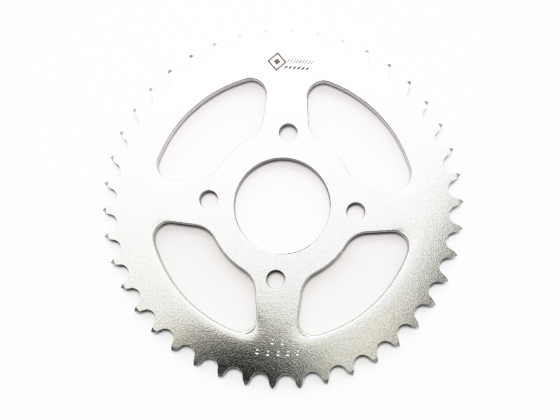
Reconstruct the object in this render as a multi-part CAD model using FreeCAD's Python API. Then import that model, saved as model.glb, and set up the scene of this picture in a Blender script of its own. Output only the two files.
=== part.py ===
import FreeCAD, Part
import os
from math import sin, cos, atan2, hypot, pi, radians, sqrt

# Rear sprocket for a motorcycle: one steel plate, blanked from strip, with
# bevelled chain teeth, a centring bore, four bolt holes and four windows.
#
# Frame: millimetres.  The origin is the centre of the bore on the hub face
# (z = 0), which sits on the wheel hub.  +Z runs along the wheel axle, out of
# the outer face (z = THICKNESS).  The four bolt holes lie on +-X and +-Y.

# --- chain and teeth (roller chain, size 428)
TEETH = 42
PITCH = 12.70
ROLLER_D = 8.51
PITCH_R = PITCH / (2.0 * sin(pi / TEETH))
SEAT_R = 0.505 * ROLLER_D          # roller seating radius
SEAT_HALF_ANGLE = 72.0             # reach of the seat arc each side of the gap's centre line
FLANK_R = 11.5                     # convex flank radius above the seat
TIP_R = 175.8 / 2.0                # over the tooth tips
TOOTH_PHASE = 91.8                 # direction of one tooth's centre line, degrees from +X

# --- plate
THICKNESS = 7.0
BEVEL_START_R = 171.3 / 2.0        # the tip bevel begins here on each face
BEVEL_AXIAL = 1.30                 # depth of the bevel along Z at the tip circle
TOOTH_EDGE_R = 0.20                # broken edge round the tooth outline, both faces

# --- bore and bolt holes
BORE_R = 46.4 / 2
BORE_EDGE_OUTER = 0.50             # rounded entry on the outer face
BORE_EDGE_HUB = 0.20               # rounded entry on the hub face
BOLT_COUNT = 4
BOLT_CIRCLE_R = 71.6 / 2
BOLT_HOLE_R = 9.0 / 2
BOLT_EDGE_OUTER = 0.35
BOLT_EDGE_HUB = 0.15

# --- windows (all alike, each mirror-symmetric about its own radial axis)
WINDOW_COUNT = 4
WINDOW_PHASE = 47.4                # direction of one window's axis, degrees from +X
WINDOW_OUTER_R = 64.60             # outer arc, concentric with the bore
WINDOW_INNER_R = 36.40             # inner arc, concentric with the bore
WINDOW_CORNER_R = 7.7              # rounding at the outer corners
WINDOW_BLEND_R = 12.4              # blend from the inner arc to the spoke side
WINDOW_SIDE_ANGLE = 50.3           # slope of the spoke side against the window's axis
WINDOW_SIDE_OFFSET = 15.05         # distance of the spoke side's line from the bore centre
WINDOW_ROLL_R = 0.75               # rolled-over edge left by the punch, outer face
WINDOW_EDGE_HUB = 0.15             # broken edge on the hub face
SHEAR_LAND_Z = 2.60                # the punched wall is straight above this height
BREAKOUT = 0.22                    # below it the wall opens by this much down to z = 0

CUT_OVER = 1.0                     # how far cutting shapes run past the plate

Vector = FreeCAD.Vector
Z_AXIS = Vector(0, 0, 1)


def rotated(point, angle):
    x, y = point
    return (x * cos(angle) - y * sin(angle), x * sin(angle) + y * cos(angle))


def turned_arc(centre, radius, start, end, turn, z=0.0):
    """Anticlockwise arc from start to end, then turned about the origin (radians)."""
    x, y = rotated(centre, turn)
    start, end = start + turn, end + turn
    while end <= start:
        end += 2 * pi
    return Part.ArcOfCircle(Part.Circle(Vector(x, y, z), Z_AXIS, radius), start, end).toShape()


# ---------------------------------------------------------------------------
# Toothed blank
# ---------------------------------------------------------------------------
def tooth_arcs():
    """Arcs (centre, radius, start, end) from root to root round a tooth pointing to +Y.

    Seat, flank and tip arcs meet at tangents."""
    half_step = pi / TEETH
    seat_turn = half_step + radians(SEAT_HALF_ANGLE)
    # the roller centre right of the tooth, and the direction from it to the seat's end
    seat_x, seat_y = PITCH_R * sin(half_step), PITCH_R * cos(half_step)
    end_x, end_y = -sin(seat_turn), -cos(seat_turn)
    # the right flank's centre lies on the same line, beyond the seat's end
    flank_x = seat_x + (SEAT_R + FLANK_R) * end_x
    flank_y = seat_y + (SEAT_R + FLANK_R) * end_y
    # the tip arc is centred on the tooth's centre line and touches both flanks and the tip circle
    rise = TIP_R - flank_y
    tip_arc_r = (FLANK_R ** 2 - flank_x ** 2 - rise ** 2) / (2.0 * (FLANK_R - rise))
    tip_y = TIP_R - tip_arc_r

    seat_end = atan2(end_y, end_x)
    root = atan2(-cos(half_step), -sin(half_step))
    flank_low = atan2(-end_y, -end_x)
    flank_high = atan2(tip_y - flank_y, -flank_x)
    return [
        ((seat_x, seat_y), SEAT_R, seat_end, root),
        ((flank_x, flank_y), FLANK_R, flank_low, flank_high),
        ((0.0, tip_y), tip_arc_r, flank_high, pi - flank_high),
        ((-flank_x, flank_y), FLANK_R, pi - flank_high, pi - flank_low),
        ((-seat_x, seat_y), SEAT_R, pi - root, pi - seat_end),
    ]


def toothed_blank():
    """Solid disc with the tooth outline, its edges broken on both faces."""
    arcs = tooth_arcs()
    edges = []
    for i in range(TEETH):
        turn = radians(TOOTH_PHASE + i * 360.0 / TEETH) - pi / 2.0
        edges += [turned_arc(*tooth_arc, turn) for tooth_arc in arcs]
    outline = Part.Wire(Part.__sortEdges__(edges))
    blank = Part.Face(outline).extrude(Vector(0, 0, THICKNESS))
    rim = [edge for edge in blank.Edges if abs(edge.BoundBox.ZLength) < 1e-6]
    return blank.makeFillet(TOOTH_EDGE_R, rim)


def bevel_envelope():
    """Disc whose rim is coned on both faces; what lies outside it is bevelled off the teeth."""
    rim_r = TIP_R + CUT_OVER
    slope = BEVEL_AXIAL / (TIP_R - BEVEL_START_R)
    rim_z = slope * (rim_r - BEVEL_START_R)
    profile = [(0, 0), (BEVEL_START_R, 0), (rim_r, rim_z),
               (rim_r, THICKNESS - rim_z), (BEVEL_START_R, THICKNESS), (0, THICKNESS), (0, 0)]
    polygon = Part.makePolygon([Vector(x, 0, z) for x, z in profile])
    envelope = Part.Face(polygon).revolve(Vector(0, 0, 0), Z_AXIS, 360)
    # the revolved face may give an inside-out solid
    if not envelope.isValid() or envelope.Volume < 0:
        envelope.reverse()
    return envelope


# ---------------------------------------------------------------------------
# Windows
# ---------------------------------------------------------------------------
def window_wire(direction, grow, z):
    """Closed outline of one window; 'grow' opens it evenly on all sides."""
    outer_r = WINDOW_OUTER_R + grow
    inner_r = WINDOW_INNER_R - grow
    corner_r = WINDOW_CORNER_R + grow
    blend_r = WINDOW_BLEND_R + grow
    offset = WINDOW_SIDE_OFFSET - grow
    turn = radians(direction)
    slope = radians(WINDOW_SIDE_ANGLE)
    along = (cos(slope), sin(slope))           # along the spoke side, outward
    inward = (sin(slope), -cos(slope))         # from the spoke side into the window

    def centre_at(distance, radius):
        """Point 'radius' from the bore centre, 'distance' from it across the spoke side."""
        run = sqrt(radius * radius - distance * distance)
        return (inward[0] * distance + along[0] * run, inward[1] * distance + along[1] * run)

    def foot(centre, radius):
        """Where an arc of this centre and radius touches the spoke side."""
        return (centre[0] - inward[0] * radius, centre[1] - inward[1] * radius)

    def mirrored(point):
        return (point[0], -point[1])

    def arc(centre, radius, start, end):
        return turned_arc(centre, radius, start, end, turn, z)

    def line(start, end):
        ends = [Vector(*rotated(point, turn), z) for point in (start, end)]
        return Part.LineSegment(*ends).toShape()

    corner = centre_at(offset + corner_r, outer_r - corner_r)
    blend = centre_at(offset + blend_r, inner_r + blend_r)
    corner_angle = atan2(corner[1], corner[0])
    blend_angle = atan2(blend[1], blend[0])
    side_angle = atan2(-inward[1], -inward[0])
    side_outer = foot(corner, corner_r)
    side_inner = foot(blend, blend_r)
    return Part.Wire(Part.__sortEdges__([
        arc((0, 0), outer_r, -corner_angle, corner_angle),
        arc(corner, corner_r, corner_angle, side_angle),
        line(side_outer, side_inner),
        arc(blend, blend_r, side_angle, blend_angle + pi),
        arc((0, 0), inner_r, -blend_angle, blend_angle),
        arc(mirrored(blend), blend_r, -blend_angle - pi, -side_angle),
        line(mirrored(side_inner), mirrored(side_outer)),
        arc(mirrored(corner), corner_r, -side_angle, -corner_angle),
    ]))


def window_cutter(direction):
    """Straight punched wall above, tapered break-out below."""
    land = Part.Face(window_wire(direction, 0.0, SHEAR_LAND_Z)).extrude(
        Vector(0, 0, THICKNESS + CUT_OVER - SHEAR_LAND_Z))
    opened = BREAKOUT * (SHEAR_LAND_Z + CUT_OVER) / SHEAR_LAND_Z
    breakout = Part.makeLoft([window_wire(direction, opened, -CUT_OVER),
                              window_wire(direction, 0.0, SHEAR_LAND_Z)], True, True)
    return land.fuse(breakout)


# ---------------------------------------------------------------------------
# Bore and bolt holes
# ---------------------------------------------------------------------------
BOLT_ANGLES = [2 * pi * i / BOLT_COUNT for i in range(BOLT_COUNT)]
BOLT_CENTRES = [(BOLT_CIRCLE_R * cos(angle), BOLT_CIRCLE_R * sin(angle)) for angle in BOLT_ANGLES]


def hole_cutter(radius, x=0, y=0):
    return Part.makeCylinder(radius, THICKNESS + 2 * CUT_OVER, Vector(x, y, -CUT_OVER))


# ---------------------------------------------------------------------------
# Rounded entries of the windows, bore and bolt holes
# ---------------------------------------------------------------------------
# margins for telling which opening an edge belongs to
BORE_MARGIN = 1.0
BOLT_MARGIN = 0.5
WINDOW_MARGIN = 2.0


def is_bore(x, y):
    return hypot(x, y) < BORE_R + BORE_MARGIN


def is_bolt(x, y):
    return any(hypot(x - bolt_x, y - bolt_y) < BOLT_HOLE_R + BOLT_MARGIN
               for bolt_x, bolt_y in BOLT_CENTRES)


def is_window(x, y):
    in_band = BORE_R + BORE_MARGIN < hypot(x, y) < WINDOW_OUTER_R + WINDOW_MARGIN
    return in_band and not is_bolt(x, y)


# height of the face, which openings, edge radius; in the order they are rounded
ENTRIES = [
    (THICKNESS, is_window, WINDOW_ROLL_R),
    (0.0, is_window, WINDOW_EDGE_HUB),
    (THICKNESS, is_bore, BORE_EDGE_OUTER),
    (0.0, is_bore, BORE_EDGE_HUB),
    (THICKNESS, is_bolt, BOLT_EDGE_OUTER),
    (0.0, is_bolt, BOLT_EDGE_HUB),
]


def round_edges(shape, z, belongs, radius):
    """Fillet the edges lying flat at height z whose middle passes the test."""
    chosen = []
    for edge in shape.Edges:
        box = edge.BoundBox
        if abs(box.ZMin - z) > 1e-4 or abs(box.ZMax - z) > 1e-4:
            continue
        middle = edge.valueAt((edge.FirstParameter + edge.LastParameter) / 2.0)
        if belongs(middle.x, middle.y):
            chosen.append(edge)
    return shape.makeFillet(radius, chosen)


# ---------------------------------------------------------------------------
# Shallow marks on the outer face: plain strokes and blocks, no characters
# ---------------------------------------------------------------------------
STAMP_DEPTH = 0.20                 # sloped punch marks
STAMP_OVER = 0.02                  # their slopes run on this far above the face
STAMP_FLOOR = 0.03                 # half width of the narrow floor
ETCH_DEPTH = 0.06                  # etched panel
ETCH_OVER = 0.5                    # etch cutters run this far above the face

# punch pairs on the rim, -Y side, two over five: x, y, tilt of the dimple in degrees
PUNCH_PAIRS = [
    (0.8, -65.3, 62.0), (5.8, -65.2, 48.0),
    (-6.0, -70.6, 50.0), (-0.8, -70.9, 64.0), (4.2, -70.6, 56.0),
    (8.8, -70.1, 46.0), (13.4, -69.4, 58.0),
]
# each pair is a dimple above a bar: length, width, length of the floor between its points
DIMPLE_SIZE = (1.60, 1.05, 0.50)
DIMPLE_RISE = 0.80
BAR_SIZE = (2.05, 0.92, 1.05)
BAR_DROP = 0.88
BAR_TILT = 3.0

# etched panel on the rim, +Y side: a lozenge ring with a core, and two rows of slanted blocks
LOZENGE_CENTRE = (-8.5, 70.5)
LOZENGE_OUTER = 5.0                # half diagonals
LOZENGE_INNER = 3.5
LOZENGE_CORE = 1.9
BLOCK_GAP = 0.60
BLOCK_LEAN = 0.35                  # sideways shift of each end, as a share of the height
# first block's x, row's y, block height, block width, count
BLOCK_ROWS = [
    (-3.3, 71.4, 2.2, 0.85, 9),
    (-4.6, 68.1, 1.7, 1.50, 6),
]


def punch_mark(x, y, size, tilt):
    """Cutter for a six-sided dimple centred on (x, y), sloping in to a narrow floor."""
    length, width, floor = size

    def ring(half_length, half_width, z):
        half_floor = floor / 2
        corners = [(-half_length, 0.0), (-half_floor, -half_width), (half_floor, -half_width),
                   (half_length, 0.0), (half_floor, half_width), (-half_floor, half_width)]
        corners = [rotated(corner, radians(tilt)) for corner in corners]
        return Part.makePolygon([Vector(x + dx, y + dy, z) for dx, dy in corners + corners[:1]])

    growth = STAMP_OVER / STAMP_DEPTH
    point = (length - floor) / 2.0
    top = ring(length / 2 + point * growth, width / 2 * (1 + growth), THICKNESS + STAMP_OVER)
    low = ring(floor / 2 + STAMP_FLOOR, STAMP_FLOOR, THICKNESS - STAMP_DEPTH)
    return Part.makeLoft([low, top], True, True)


def polygon_mark(points, depth):
    corners = [Vector(x, y, THICKNESS - depth) for x, y in points]
    face = Part.Face(Part.makePolygon(corners + corners[:1]))
    return face.extrude(Vector(0, 0, depth + ETCH_OVER))


def lozenge_mark(half, depth):
    x, y = LOZENGE_CENTRE
    return polygon_mark([(x - half, y), (x, y - half), (x + half, y), (x, y + half)], depth)


def block_mark(x, y, height, width):
    lean = BLOCK_LEAN * height
    low, high = y - height / 2, y + height / 2
    return polygon_mark([(x - lean, low), (x + width - lean, low),
                         (x + width + lean, high), (x + lean, high)], ETCH_DEPTH)


def face_marks():
    marks = []
    for x, y, tilt in PUNCH_PAIRS:
        marks.append(punch_mark(x, y + DIMPLE_RISE, DIMPLE_SIZE, tilt))
        marks.append(punch_mark(x, y - BAR_DROP, BAR_SIZE, BAR_TILT))
    hollow = lozenge_mark(LOZENGE_INNER, ETCH_DEPTH * 2)
    marks.append(lozenge_mark(LOZENGE_OUTER, ETCH_DEPTH).cut(hollow))
    marks.append(lozenge_mark(LOZENGE_CORE, ETCH_DEPTH))
    for first_x, y, height, width, count in BLOCK_ROWS:
        for i in range(count):
            marks.append(block_mark(first_x + i * (width + BLOCK_GAP), y, height, width))
    return marks


# ---------------------------------------------------------------------------
# The plate
# ---------------------------------------------------------------------------
def sprocket_plate():
    plate = toothed_blank().common(bevel_envelope())
    for i in range(WINDOW_COUNT):
        plate = plate.cut(window_cutter(WINDOW_PHASE + i * 360.0 / WINDOW_COUNT))
    plate = plate.cut(hole_cutter(BORE_R))
    for x, y in BOLT_CENTRES:
        plate = plate.cut(hole_cutter(BOLT_HOLE_R, x, y))
    plate = plate.removeSplitter()
    for z, belongs, radius in ENTRIES:
        plate = round_edges(plate, z, belongs, radius)
    for mark in face_marks():
        plate = plate.cut(mark)
    # unwrap a lone solid from its compound
    return Part.Solid(plate.Solids[0]) if len(plate.Solids) == 1 else plate


os.makedirs("parts", exist_ok=True)
sprocket_plate().exportStep("parts/sprocket_plate.step")
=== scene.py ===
"""Zinc-plated sprocket plate with four windows, four bolt holes and a central bore.

It lies flat over a white card: axle along +Z through the origin, outer face up.
The scene is in metres. The surface materials work in millimetres.
"""
import bpy
import math
from functools import reduce
from mathutils import Matrix, Vector

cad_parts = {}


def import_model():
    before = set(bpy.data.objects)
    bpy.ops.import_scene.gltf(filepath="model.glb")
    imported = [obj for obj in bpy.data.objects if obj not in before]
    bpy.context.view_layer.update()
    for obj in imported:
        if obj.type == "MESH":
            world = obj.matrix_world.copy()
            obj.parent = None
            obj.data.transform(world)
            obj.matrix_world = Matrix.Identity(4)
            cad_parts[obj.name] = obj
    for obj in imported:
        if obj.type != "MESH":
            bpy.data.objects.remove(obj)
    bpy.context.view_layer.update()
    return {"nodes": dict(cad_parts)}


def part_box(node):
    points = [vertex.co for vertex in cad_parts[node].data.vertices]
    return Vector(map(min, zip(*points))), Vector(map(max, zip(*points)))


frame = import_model()
SPROCKET = frame["nodes"]["sprocket_plate"]
FACE_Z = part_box("sprocket_plate")[1].z   # outer face, m
MM = 1000.0                              # millimetres in a metre

# places on the plate, mm
BOLT_R = 35.8                            # bolt holes, from the axle
BOLT_HOLES = ((BOLT_R, 0), (0, BOLT_R), (-BOLT_R, 0), (0, -BOLT_R))
WINDOW_R = 64.60                         # outer arc of the windows
WINDOW_CORNER = 7.7                      # corner radius
WINDOW_AXIS = math.radians(47.4)         # direction of one window's axis, from +X
WINDOW_SIDE = math.radians(50.3)         # from that axis to a line through the axle ...
WINDOW_INSET = 15.05                     # ... that the window's straight side lies this far inside
# small pits in the outer face: x, y, radius
PITS = (
    (4.0, -44.1, 0.42), (8.7, -42.7, 0.34), (70.7, 42.6, 0.45), (77.8, 24.6, 0.38),
    (-50.0, -57.9, 0.30), (-47.0, -63.9, 0.50), (50.1, -44.4, 0.30), (32.2, -24.4, 0.28),
    (-25.0, 64.2, 0.25), (61.0, -52.0, 0.25), (-71.5, 12.0, 0.22),
)


# ----------------------------------------------------------------------------
# node graphs: values and plain numbers go in, values come out
# ----------------------------------------------------------------------------
def operator(operation, swapped=False):
    def apply(self, other):
        a, b = (other, self) if swapped else (self, other)
        return self.graph.math(operation, a, b)
    return apply


class Value:
    """A node's output. Each arithmetic operator on it adds one Math node."""
    def __init__(self, graph, socket):
        self.graph = graph
        self.socket = socket

    __add__ = operator("ADD")
    __radd__ = operator("ADD", swapped=True)
    __sub__ = operator("SUBTRACT")
    __rsub__ = operator("SUBTRACT", swapped=True)
    __mul__ = operator("MULTIPLY")
    __rmul__ = operator("MULTIPLY", swapped=True)
    __truediv__ = operator("DIVIDE")


class Graph:
    def __init__(self, owner):
        """Start an empty graph on a material or a world."""
        owner.use_nodes = True
        self.tree = owner.node_tree
        self.tree.nodes.clear()

    def put(self, socket, value):
        if isinstance(value, Value):
            self.tree.links.new(value.socket, socket)
        else:
            socket.default_value = value

    def node(self, kind, inputs=None, **props):
        node = self.tree.nodes.new(kind)
        for name, value in props.items():
            setattr(node, name, value)
        for key, value in (inputs or {}).items():
            self.put(node.inputs[key], value)
        return node

    def make(self, kind, inputs=None, output=0, **props):
        """Add a node and return one of its outputs."""
        return Value(self, self.node(kind, inputs, **props).outputs[output])

    def finish(self, output_kind, shader_kind, inputs):
        """Add the shader and link it to the graph's output."""
        self.node(output_kind, {0: self.make(shader_kind, inputs)})

    # -- numbers
    def math(self, operation, *operands):
        return self.make("ShaderNodeMath", dict(enumerate(operands)), operation=operation)

    def exp(self, a):
        return self.math("EXPONENT", a)

    def hyp(self, a, b):
        return self.math("SQRT", a * a + b * b)

    def least(self, *values):
        return reduce(lambda a, b: self.math("MINIMUM", a, b), values)

    def most(self, *values):
        return reduce(lambda a, b: self.math("MAXIMUM", a, b), values)

    def vary(self, value, base, span):
        """base where value is 0, base + span where it is 1."""
        return base + value * span

    def wobble(self, noise, amount):
        """Noise centred on zero."""
        return (noise - 0.5) * amount

    def remap(self, value, source, target, interpolation="LINEAR"):
        ends = {1: source[0], 2: source[1], 3: target[0], 4: target[1]}
        return self.make("ShaderNodeMapRange", {0: value, **ends},
                         interpolation_type=interpolation, clamp=True)

    def step(self, value, off, on):
        """0 at off, 1 at on, smooth between; off may be the larger."""
        target = (0.0, 1.0) if off < on else (1.0, 0.0)
        return self.remap(value, (min(off, on), max(off, on)), target, "SMOOTHSTEP")

    def turn_curve(self, turn, points):
        """Curve through (degrees, value) points; turn runs from 0 to 1."""
        node = self.node("ShaderNodeFloatCurve", {"Value": turn})
        curve = node.mapping.curves[0]
        curve.points[0].location = (0.0, points[0][1])
        curve.points[1].location = (1.0, points[-1][1])
        for degrees, value in points[1:-1]:
            curve.points.new(degrees / 360.0, value)
        node.mapping.update()
        return Value(self, node.outputs[0])

    def blend(self, mask, under, over):
        """Mix two numbers."""
        return self.make("ShaderNodeMix", {0: mask, 2: under, 3: over}, data_type="FLOAT")

    # -- vectors and colours
    def vec(self, x, y, z):
        return self.make("ShaderNodeCombineXYZ", {0: x, 1: y, 2: z})

    def split(self, vector):
        node = self.node("ShaderNodeSeparateXYZ", {0: vector})
        return [Value(self, socket) for socket in node.outputs]

    def scale(self, vector, factor):
        """Vector or colour times a number."""
        return self.make("ShaderNodeVectorMath", {0: vector, "Scale": factor}, operation="SCALE")

    def coord(self, name):
        return self.make("ShaderNodeTexCoord", output=name)

    def noise(self, place, scale, detail=2.0, rough=0.5):
        return self.make("ShaderNodeTexNoise", {
            "Vector": place, "Scale": scale, "Detail": detail, "Roughness": rough})

    def mix(self, mask, under, over, amount=None):
        """Mix two colours; amount, if given, weakens the mask."""
        if amount is not None:
            mask = mask * amount
        under, over = (c if isinstance(c, Value) else (*c, 1.0) for c in (under, over))
        return self.make("ShaderNodeMix", {0: mask, 6: under, 7: over}, output=2,
                         data_type="RGBA")

    def bump(self, layers):
        """Stack (height, distance in metres) layers into one normal."""
        normal = None
        for height, distance in layers:
            inputs = {"Strength": 1.0, "Distance": distance, "Height": height}
            if normal is not None:
                inputs["Normal"] = normal
            normal = self.make("ShaderNodeBump", inputs)
        return normal


def nearest_hole(g, x, y, shift_y=0.0):
    """Distance to the nearest bolt hole's centre, with the holes moved along Y by shift_y."""
    return g.least(*(g.hyp(x - hole_x, y - (hole_y + shift_y)) for hole_x, hole_y in BOLT_HOLES))


# ----------------------------------------------------------------------------
# zinc-plated steel: sheet face, turned bevels, rolled edges, sheared walls
# ----------------------------------------------------------------------------
WARM = (0.515, 0.511, 0.492)
COOL = (0.502, 0.508, 0.518)
LILAC = (0.480, 0.472, 0.512)
STRAW = (0.515, 0.515, 0.440)


def plating_colour(g, place, x, y):
    """Colour of the sheet face: broad tints under a fine bright and dull grain."""
    speck = g.noise(place, scale=1.75, detail=1.0)
    broad = g.noise(place, scale=0.035)
    patch = g.noise(place, scale=0.075, detail=3.0, rough=0.6)
    chroma = g.noise(place, scale=0.22, rough=0.6)

    colour = g.mix(g.step(broad, off=0.40, on=0.62), WARM, COOL)
    # bluish-violet bloom on the +X rim: an oval about (76, -24), 11 by 26 mm
    across = (x - 76.0) / 11.0
    along = (y + 24.0) / 26.0
    bloom = g.exp(-1.0 * (across * across + along * along)) * g.step(patch, off=0.42, on=0.58)
    colour = g.mix(bloom, colour, LILAC, amount=0.55)
    # faint straw bloom on the -X side
    colour = g.mix(g.step(x, off=-30.0, on=-80.0), colour, STRAW, amount=0.8)
    neutral = g.vec(0.508, 0.504, 0.508)
    colour = g.mix(g.step(chroma, off=0.40, on=0.60), colour, neutral, amount=0.7)
    crystal = g.remap(speck, source=(0.30, 0.70), target=(0.0, 1.0))      # 0 dull, 1 bright
    return g.scale(colour, g.vary(crystal, base=0.78, span=0.44))


def wall_colour(g, land, streak, tear, bolt, bore):
    """Bright burnished land above, dull torn zone below whose dark colour is partly painted shade
    at the foot of the wall; painted shade in the holes and the bore.
    """
    land_colour = g.scale(g.vec(0.40, 0.40, 0.385), g.vary(streak, base=0.70, span=0.60))
    # dull torn zone; its dark colour is partly painted shade at the foot of the wall
    torn_zone_and_foot_shade = g.scale(g.vec(0.13, 0.127, 0.12), g.vary(tear, base=0.55, span=0.9))
    colour = g.mix(land, torn_zone_and_foot_shade, land_colour)
    # painted shade: the walls of the bolt holes and the bore are darkened
    colour = g.mix(bolt, colour, (0.085, 0.083, 0.082), amount=0.80)
    return g.mix(bore, colour, (0.115, 0.113, 0.110), amount=0.7)


def etch_mask(g, x, y, z, normal_z):
    """Floor of the etched marks, in a panel near the +Y rim."""
    pocket = g.step(FACE_Z * MM - z, off=0.02, on=0.035) * g.step(normal_z, off=0.85, on=0.95)
    across = g.step(x, off=-15.0, on=-14.0) * g.step(x, off=12.5, on=11.5)
    panel = g.step(y, off=64.0, on=65.0) * (g.step(y, off=77.0, on=76.0) * across)
    return pocket * panel


def pit_mask(g, x, y, grain):
    """Pits with ragged rims."""
    def pit(pit_x, pit_y, radius):
        ragged = g.hyp(x - pit_x, y - pit_y) + g.wobble(grain, amount=0.35)
        return g.step(ragged, off=radius, on=radius * 0.35)
    return g.most(*(pit(*entry) for entry in PITS))


def window_gap(g, x, y, radius):
    """Distance outwards from the edge of the nearest window, 0 inside it."""
    angle = g.math("ARCTAN2", y, x)
    away = g.math("PINGPONG", angle - WINDOW_AXIS, math.pi / 4)   # from the nearest window's axis
    inside = (radius * g.math("COSINE", away) * math.sin(WINDOW_SIDE)
              - radius * g.math("SINE", away) * math.cos(WINDOW_SIDE))
    past_arc = radius - (WINDOW_R - WINDOW_CORNER)
    past_side = (WINDOW_INSET + WINDOW_CORNER) - inside
    outer = g.hyp(g.most(past_arc, 0.0), g.most(past_side, 0.0))
    inner = g.least(g.most(past_arc, past_side), 0.0)
    return g.most(outer + inner - WINDOW_CORNER, 0.0)


def zinc_steel():
    material = bpy.data.materials.new("zinc_plated_steel")
    g = Graph(material)
    place = g.scale(g.coord("Object"), MM)
    x, y, z = g.split(place)
    radius = g.hyp(x, y)
    normal_z = g.split(g.make("ShaderNodeNewGeometry", output="Normal"))[2]
    level = g.math("ABSOLUTE", normal_z)                         # 1 flat, 0 upright

    # where each kind of surface is
    wall = g.step(level, off=0.34, on=0.12)
    bevel = g.step(radius, off=85.30, on=85.60) * g.step(level, off=0.985, on=0.94) * (1.0 - wall)
    roll = g.step(level, off=0.995, on=0.90) * (1.0 - wall) * g.step(radius, off=85.55, on=85.25)
    top = g.step(normal_z, off=0.2, on=0.6)
    bolt = g.step(nearest_hole(g, x, y), off=5.2, on=4.8)
    bore = g.step(radius, off=24.2, on=23.6)
    bore_edge = g.step(radius, off=24.6, on=24.2)

    # pebbled grain of the sheet, lines round the axle on the bevels
    grain = g.noise(place, scale=1.55, detail=1.0)
    fine_grain = g.noise(place, scale=3.4, rough=0.55)
    coarse_grain = g.noise(place, scale=0.30)
    around = g.math("ARCTAN2", y, x) * 2.0
    turned = g.noise(g.vec(radius * 9.0, z * 9.0, around), scale=1.0)

    # walls: upright streaks on the land, tearing below a wavering line at z = 2.6
    streak = g.noise(g.vec(x * 3.2, y * 3.2, z * 0.22), scale=1.0, detail=3.0, rough=0.6)
    tear = g.noise(place, scale=2.2, detail=3.0, rough=0.65)
    line = 2.6 + g.wobble(g.noise(g.vec(x, y, 0.0), scale=0.35, rough=0.6), amount=1.6)
    land = g.step(z - line, off=-0.25, on=0.25)

    bevel_colour = g.scale(g.vec(0.64, 0.64, 0.635), g.vary(turned, base=0.90, span=0.20))
    colour = g.mix(bevel, plating_colour(g, place, x, y), bevel_colour)
    colour = g.mix(roll, colour, (0.56, 0.56, 0.55), amount=0.5)
    # painted shade: the rolled edges are darkened round the bore and the bolt holes
    colour = g.mix(roll * bore_edge, colour, (0.15, 0.15, 0.148), amount=0.95)
    colour = g.mix(roll * bolt, colour, (0.24, 0.24, 0.238), amount=0.7)
    colour = g.mix(wall, colour, wall_colour(g, land, streak, tear, bolt, bore))

    rough = g.remap(grain, source=(0.34, 0.66), target=(0.04, 0.10))
    rough = g.blend(bevel, rough, over=0.23)
    rough = g.blend(roll, rough, over=0.24)
    rough = g.blend(wall, rough, over=g.blend(land, under=0.52, over=0.34))

    etch = etch_mask(g, x, y, z, normal_z)
    etch_grain = g.step(g.noise(place, scale=3.0, detail=3.0, rough=0.7), off=0.45, on=0.70)
    colour = g.mix(etch, colour, g.mix(etch_grain, (0.030, 0.022, 0.020), (0.20, 0.15, 0.13)))
    rough = g.blend(etch, rough, over=0.65)

    pits = pit_mask(g, x, y, fine_grain) * top
    colour = g.mix(pits, colour, (0.16, 0.14, 0.13), amount=0.8)
    rough = g.blend(pits, rough, over=0.6)

    # die roll: the sheet dips towards the windows, most of all at their outer arcs
    falloff = g.exp(window_gap(g, x, y, radius) * -0.62)
    die_roll = falloff * g.step(radius, off=46.0, on=62.0) * -1.0
    wall_relief = g.blend(land, under=tear * 1.0, over=streak * 0.25) * wall
    normal = g.bump((
        (die_roll, 0.00012),
        (coarse_grain, 0.000008),
        (grain, 0.000014),
        (fine_grain, 0.000004),
        (wall_relief, 0.00006),
        (turned * bevel, 0.000006),
        (pits * -1.0, 0.00008),
    ))
    g.finish("ShaderNodeOutputMaterial", "ShaderNodeBsdfPrincipled", {
        "Base Color": colour,
        "Metallic": 1.0 - etch * 0.9,                            # the etch is mostly not metal
        "Roughness": rough,
        "Normal": normal,
    })
    return material


SPROCKET.data.materials.clear()
SPROCKET.data.materials.append(zinc_steel())


# ----------------------------------------------------------------------------
# floor: matt white card, with painted shade under the plate and a painted glow under the holes
# ----------------------------------------------------------------------------
FLOOR_HALF = 6.0
FLOOR_Z = -0.0001


def white_card():
    material = bpy.data.materials.new("white_card")
    g = Graph(material)
    place = g.scale(g.coord("Object"), MM)
    x, y, _ = g.split(place)
    # painted shade: the card is a touch greyer and tinted under the plate, and less so towards +Y
    under = g.step(g.hyp(x, y), off=80.0, on=66.0)
    shade_eases_towards_y = g.step(y, off=-26.0, on=-6.0)
    white = g.blend(under, under=0.88, over=g.blend(shade_eases_towards_y, under=0.56, over=0.78))
    # the painted shade is lighter under the bore
    white = g.blend(g.step(g.hyp(x, y), off=29.0, on=24.0), white, over=0.80)
    white = white + g.wobble(g.noise(place, scale=0.9, detail=3.0, rough=0.6), amount=0.012)
    green = g.blend(under, under=0.988, over=g.blend(shade_eases_towards_y, under=0.955, over=0.92))
    blue = g.blend(under, under=0.988, over=g.blend(shade_eases_towards_y, under=0.925, over=0.95))
    # painted light: the card glows a little under the bolt holes and the bore, set slightly
    # towards -Y
    hole_glow = g.step(nearest_hole(g, x, y, shift_y=-1.3), off=5.0, on=2.5)
    bore_glow = g.step(g.hyp(x, y + 2.0), off=24.0, on=17.0)
    g.finish("ShaderNodeOutputMaterial", "ShaderNodeBsdfPrincipled", {
        "Base Color": g.vec(white, white * green, white * blue),
        "Roughness": 0.9,
        "Specular IOR Level": 0.15,
        "Emission Color": (1.0, 0.99, 0.985, 1.0),
        "Emission Strength": hole_glow * 0.30 + bore_glow * 0.06,
    })
    return material


def floor():
    mesh = bpy.data.meshes.new("floor")
    corners = [(sx * FLOOR_HALF, sy * FLOOR_HALF, FLOOR_Z)
               for sx, sy in ((-1, -1), (1, -1), (1, 1), (-1, 1))]
    mesh.from_pydata(corners, [], [(0, 1, 2, 3)])
    card = bpy.data.objects.new("floor", mesh)
    bpy.context.scene.collection.objects.link(card)
    mesh.materials.append(white_card())


floor()

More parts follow.
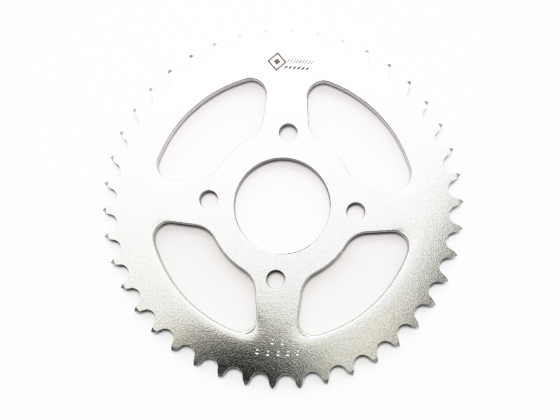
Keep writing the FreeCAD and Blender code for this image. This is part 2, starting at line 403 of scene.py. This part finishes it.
# ----------------------------------------------------------------------------
# camera: nearly straight above the plate
# ----------------------------------------------------------------------------
# the camera's own X, Y and Z axes in the scene
CAM_AXES = ((0.9960232851, 0.0850360580, -0.0265797736),
            (-0.0828244556, 0.9937035824, 0.0754539592),
            (0.0328287235, -0.0729524450, 0.9967949717))
CAM_AT = Vector((0.01254809, -0.03187015, 0.40555865 + FACE_Z))


def camera():
    data = bpy.data.cameras.new("camera")
    data.sensor_fit = "HORIZONTAL"
    data.sensor_width = 36.0
    data.lens = 54.0
    data.clip_start = 0.01
    data.clip_end = 50.0
    cam = bpy.data.objects.new("camera", data)
    bpy.context.scene.collection.objects.link(cam)
    pose = Matrix(CAM_AXES).transposed().to_4x4()
    pose.translation = CAM_AT
    cam.matrix_world = pose
    bpy.context.scene.camera = cam


camera()

# ----------------------------------------------------------------------------
# light: a white room with two dark zones overhead and one large softbox that
# leans towards +Y
# ----------------------------------------------------------------------------
ROOM = 0.590                             # level overhead, before the dark zones
SOFTBOX = 7.65                           # what the softbox adds at its middle
FILL = 2.15                              # ring of soft fill, out of the camera's mirror
LOW = 1.05                               # level of the low-down surround
BASE = 0.04                              # for matt surfaces: level all round
BROAD = 5.8                              # for matt surfaces: soft light from the +Y side
SEEN = 3.0                               # level seen directly by the camera
STRAW_LEVEL = 2.1                        # the straw tint fades out at this level
STRAW_GAIN = 3.6                         # strength of the straw tint
# how the low surround varies with direction: degrees from +X, half its level
ROUND = (
    (0, 0.262), (6, 0.275), (23, 0.272), (40, 0.268), (55, 0.195), (66, 0.29), (75, 0.64),
    (84, 0.80), (92, 0.845), (102, 0.82), (110, 0.69), (118, 0.33), (126, 0.180),
    (143, 0.335), (160, 0.372), (178, 0.272), (195, 0.250), (212, 0.090), (229, 0.045),
    (246, 0.040), (263, 0.046), (280, 0.034), (298, 0.170), (315, 0.185), (332, 0.300),
    (349, 0.240), (360, 0.262),
)


def dark_zone(g, mirror, depth, centre, half, turn, flatness):
    """1 outside an oval in the mirror plane, 1 - depth at its middle; higher flatness, flatter."""
    off_x = mirror[0] - centre[0]
    off_y = mirror[1] - centre[1]
    cos, sin = math.cos(turn), math.sin(turn)
    u = (off_x * cos + off_y * sin) / half[0]
    v = (off_x * -sin + off_y * cos) / half[1]
    limit = 60.0                         # keeps the power in range
    spread = g.least(u * u + v * v, limit)
    spread = g.least(g.math("POWER", spread, flatness), limit)
    return 1.0 - g.exp(spread * -0.5) * depth


def world():
    studio = bpy.data.worlds.new("studio")
    bpy.context.scene.world = studio
    g = Graph(studio)
    studio.cycles.sampling_method = "NONE"
    dx, dy, dz = g.split(g.coord("Generated"))
    # where a level mirror at the outer face, seen by the camera, would show this direction (mm)
    rise = g.most(dz, 0.02)
    height = (CAM_AT.z - FACE_Z) * MM
    mirror = (dx / rise * height + CAM_AT.x * MM,
              dy / rise * height + CAM_AT.y * MM)

    dark = (dark_zone(g, mirror, depth=0.999, centre=(-14.5, -103.5), half=(44.0, 44.5),
                      turn=-0.22, flatness=3.5)
            * dark_zone(g, mirror, depth=0.95, centre=(96.3, -52.2), half=(26.6, 199.0),
                        turn=-0.275, flatness=2.0))
    softbox = 1.0 - dark_zone(g, mirror, depth=1.0, centre=(13.8, 187.0), half=(167.0, 115.0),
                              turn=0.50, flatness=1.0)
    zenith = dark * g.vary(softbox, base=ROOM, span=SOFTBOX)

    # low down: bright straight along +Y, middling on both sides, dim towards -Y
    toward_y = dy / g.most(g.hyp(dx, dy), 0.001)
    azimuth = g.math("FRACT", g.math("ARCTAN2", dy, dx) / (2.0 * math.pi) + 1.0)
    low = g.turn_curve(azimuth, ROUND) * (2.0 * LOW)
    # a ring of soft fill between the softbox and the walls of the room, least of it from -Y
    ring = g.step(dz, off=0.62, on=0.74) * g.step(dz, off=0.93, on=0.85)
    fill = ring * (g.vary(toward_y, base=0.55, span=0.45) * FILL)
    high = g.step(dz, off=0.50, on=0.86)
    level = g.blend(high, low, zenith) + fill

    # the dark zones are a warm room: straw at half level, neutral when deep
    tone_level = g.least(zenith / STRAW_LEVEL, 1.0)
    straw = (high * g.step(tone_level, off=0.01, on=0.22) * STRAW_GAIN
             * (tone_level * (1.0 - tone_level)))
    white = (1.0, 1.0, 1.0)
    tone = g.mix(straw, white, (1.04, 1.02, 0.84))

    # matt surfaces see the same room as plain soft light from the +Y side
    path = g.node("ShaderNodeLightPath")
    glossy = Value(g, path.outputs["Is Glossy Ray"])
    soft = g.vary(g.step(dy, off=0.10, on=0.55), base=BASE, span=BROAD)
    level = g.blend(glossy, soft, level)
    level = g.blend(Value(g, path.outputs["Is Camera Ray"]), level, SEEN)
    g.finish("ShaderNodeOutputWorld", "ShaderNodeBackground", {
        "Color": g.mix(glossy, white, tone),
        "Strength": level,
    })


world()


def overhead():
    """Small lamp almost straight above: it draws the tight shadows at the foot of the edges."""
    light = bpy.data.lights.new("overhead", "AREA")
    light.shape = "DISK"
    light.size = 0.12
    light.energy = 2.6
    light.color = (1.0, 0.995, 0.99)
    lamp = bpy.data.objects.new("overhead", light)
    bpy.context.scene.collection.objects.link(lamp)
    lamp.location = (-0.022, 0.081, 0.525)
    lamp.visible_glossy = False
    lamp.visible_camera = False


overhead()

# ----------------------------------------------------------------------------
# tone: straight up to the knee, then highlights roll off softly
# ----------------------------------------------------------------------------
KNEE = 0.6
HEADROOM = 1.0 - KNEE                    # left above the knee
BRIGHTEST = 4.0                          # scene level at the curve's end
ROLL_STEPS = 17
ROLL_STEP = 0.15


def tone_curve():
    view = bpy.context.scene.view_settings
    view.view_transform = "Standard"
    view.look = "None"
    view.exposure = 0.0
    view.gamma = 1.0
    view.use_curve_mapping = True
    mapping = view.curve_mapping
    mapping.use_clip = False
    mapping.clip_max_x = BRIGHTEST
    mapping.extend = "HORIZONTAL"
    combined = mapping.curves[3]
    combined.points[0].location = (0.0, 0.0)
    combined.points[1].location = (BRIGHTEST, 1.0)
    for i in range(ROLL_STEPS):
        level = KNEE + ROLL_STEP * i
        combined.points.new(level, 1.0 - HEADROOM * math.exp(-(level - KNEE) / HEADROOM))
    for i in range(3):                   # red, green and blue stay straight
        mapping.curves[i].points[1].location = (BRIGHTEST, BRIGHTEST)
    for curve in mapping.curves:
        for point in curve.points:
            point.handle_type = "VECTOR"
    mapping.update()


tone_curve()
